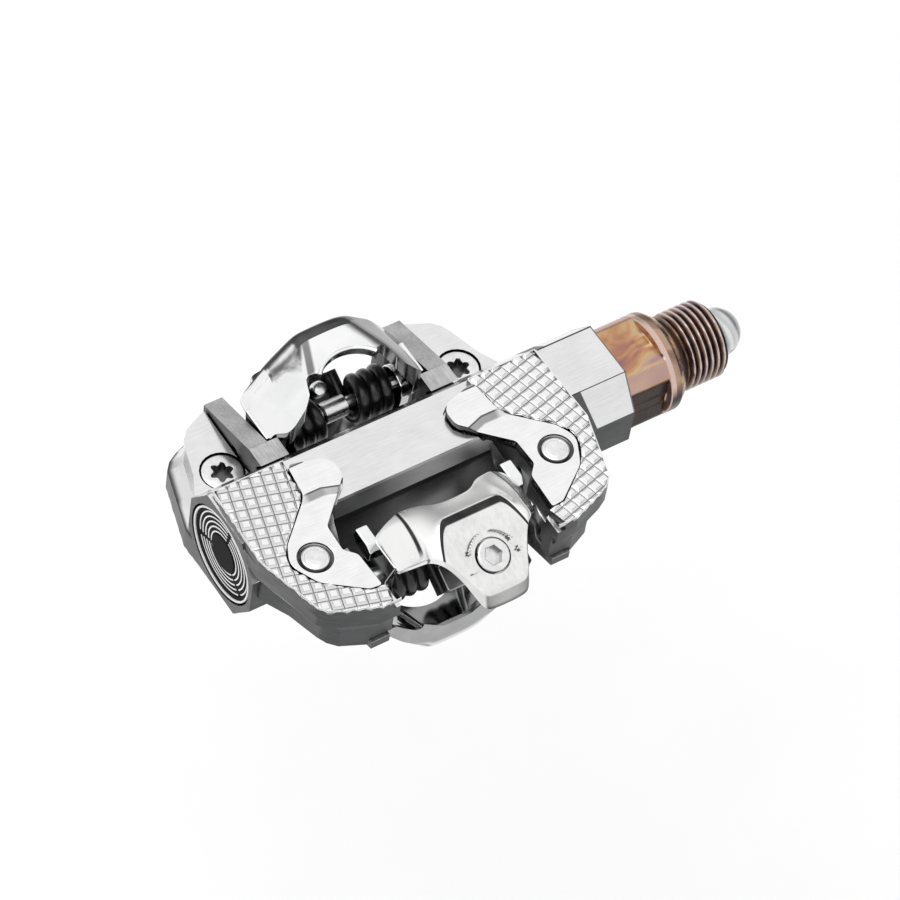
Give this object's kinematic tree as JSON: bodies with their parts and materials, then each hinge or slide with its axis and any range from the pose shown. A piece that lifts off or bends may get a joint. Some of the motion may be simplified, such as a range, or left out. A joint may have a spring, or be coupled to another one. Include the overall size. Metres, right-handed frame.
{
  "type": "clipless bicycle pedal",
  "caption": "Two-sided clipless pedal, left-hand thread, with sprung claws, fixed hooks, knurled wings and a sensor spindle.",
  "frame": {"origin": "middle of the pedal's bounding box", "axes": "+X along the spindle from the outboard cap to the crank thread, +Y the rider's forward direction on the upper face, +Z out of the upper face"},
  "size_m": [0.1046, 0.0732, 0.0402],
  "materials": {
    "shell": "bright machined, smooth",
    "plate": "polished",
    "fastener": "satin plated",
    "carrier": "coarse brushed",
    "hook_chrome": "mirror",
    "claw_steel": "satin nickel plate with fine grain",
    "spring_steel": "black",
    "dark_steel": "plain",
    "spindle_steel": "heat tinted, oiled",
    "dome_plastic": "translucent grey",
    "cell_wrap": "printed sleeve",
    "board": "lacquered",
    "bearing_steel": "ground",
    "bush_bronze": "plain",
    "seal_rubber": "matte",
    "cap_plastic": "moulded with light rings"
  },
  "bodies": {
    "spindle": {"spindle": "spindle_steel", "antenna_dome": "dome_plastic", "battery_cell": "cell_wrap", "sensor_board": "board", "lock_nut": "dark_steel"},
    "pedal": {"pedal_body": "shell", "outboard_ball_bearing": "bearing_steel", "needle_bearing": "bearing_steel", "inboard_bush": "bush_bronze", "spindle_seal": "seal_rubber", "outboard_cap": "cap_plastic", "cap_seal_ring": "seal_rubber", "upper_hook": "hook_chrome", "upper_pivot_pin": "fastener", "upper_pin_spacer": "fastener", "upper_right_wear_plate": "plate", "upper_right_wing_screw": "fastener", "upper_right_side_carrier": "carrier", "upper_left_wear_plate": "plate", "upper_left_wing_screw": "fastener", "upper_left_side_carrier": "carrier", "lower_hook": "hook_chrome", "lower_pivot_pin": "fastener", "lower_pin_spacer": "fastener", "lower_right_wear_plate": "plate", "lower_right_wing_screw": "fastener", "lower_right_side_carrier": "carrier", "lower_left_wear_plate": "plate", "lower_left_wing_screw": "fastener", "lower_left_side_carrier": "carrier"},
    "upper_claw": {"upper_claw": "claw_steel", "upper_left_claw_spring": "spring_steel", "upper_right_claw_spring": "spring_steel"},
    "upper_tension_screw": {"upper_tension_screw": "fastener"},
    "upper_tension_nut": {"upper_tension_nut": "dark_steel"},
    "lower_claw": {"lower_claw": "claw_steel", "lower_left_claw_spring": "spring_steel", "lower_right_claw_spring": "spring_steel"},
    "lower_tension_screw": {"lower_tension_screw": "fastener"},
    "lower_tension_nut": {"lower_tension_nut": "dark_steel"}
  },
  "joints": [
    {"name": "pedal_spin", "type": "hinge", "parent": "spindle", "child": "pedal", "pos_m": [-0.01995, 0, 0], "axis": [1, 0, 0], "continuous": true},
    {"name": "upper_claw_tilt", "type": "hinge", "parent": "pedal", "child": "upper_claw", "pos_m": [-0.01995, -0.017, 0], "axis": [1, 0, 0], "range_deg": [0, 18], "stiffness_Nm_per_rad": 0.6, "springref_deg": -9.74},
    {"name": "upper_tension_turn", "type": "hinge", "parent": "upper_claw", "child": "upper_tension_screw", "pos_m": [-0.01995, -0.0306, 0.0166], "axis": [0, 0.4695, -0.8829], "range_deg": [0, 1080]},
    {"name": "upper_tension_travel", "type": "slide", "parent": "upper_claw", "child": "upper_tension_nut", "axis": [0, -0.4695, 0.8829], "range_m": [0, 0.0015]},
    {"name": "lower_claw_tilt", "type": "hinge", "parent": "pedal", "child": "lower_claw", "pos_m": [-0.01995, 0.017, 0], "axis": [1, 0, 0], "range_deg": [0, 18], "stiffness_Nm_per_rad": 0.6, "springref_deg": -9.74},
    {"name": "lower_tension_turn", "type": "hinge", "parent": "lower_claw", "child": "lower_tension_screw", "pos_m": [-0.01995, 0.0306, -0.0166], "axis": [0, -0.4695, 0.8829], "range_deg": [0, 1080]},
    {"name": "lower_tension_travel", "type": "slide", "parent": "lower_claw", "child": "lower_tension_nut", "axis": [0, 0.4695, -0.8829], "range_m": [0, 0.0015]}
  ],
  "couplings": [
    {"joint": "upper_tension_turn", "follows": "upper_tension_travel", "rad_per_m": 12566},
    {"joint": "lower_tension_turn", "follows": "lower_tension_travel", "rad_per_m": 12566}
  ]
}
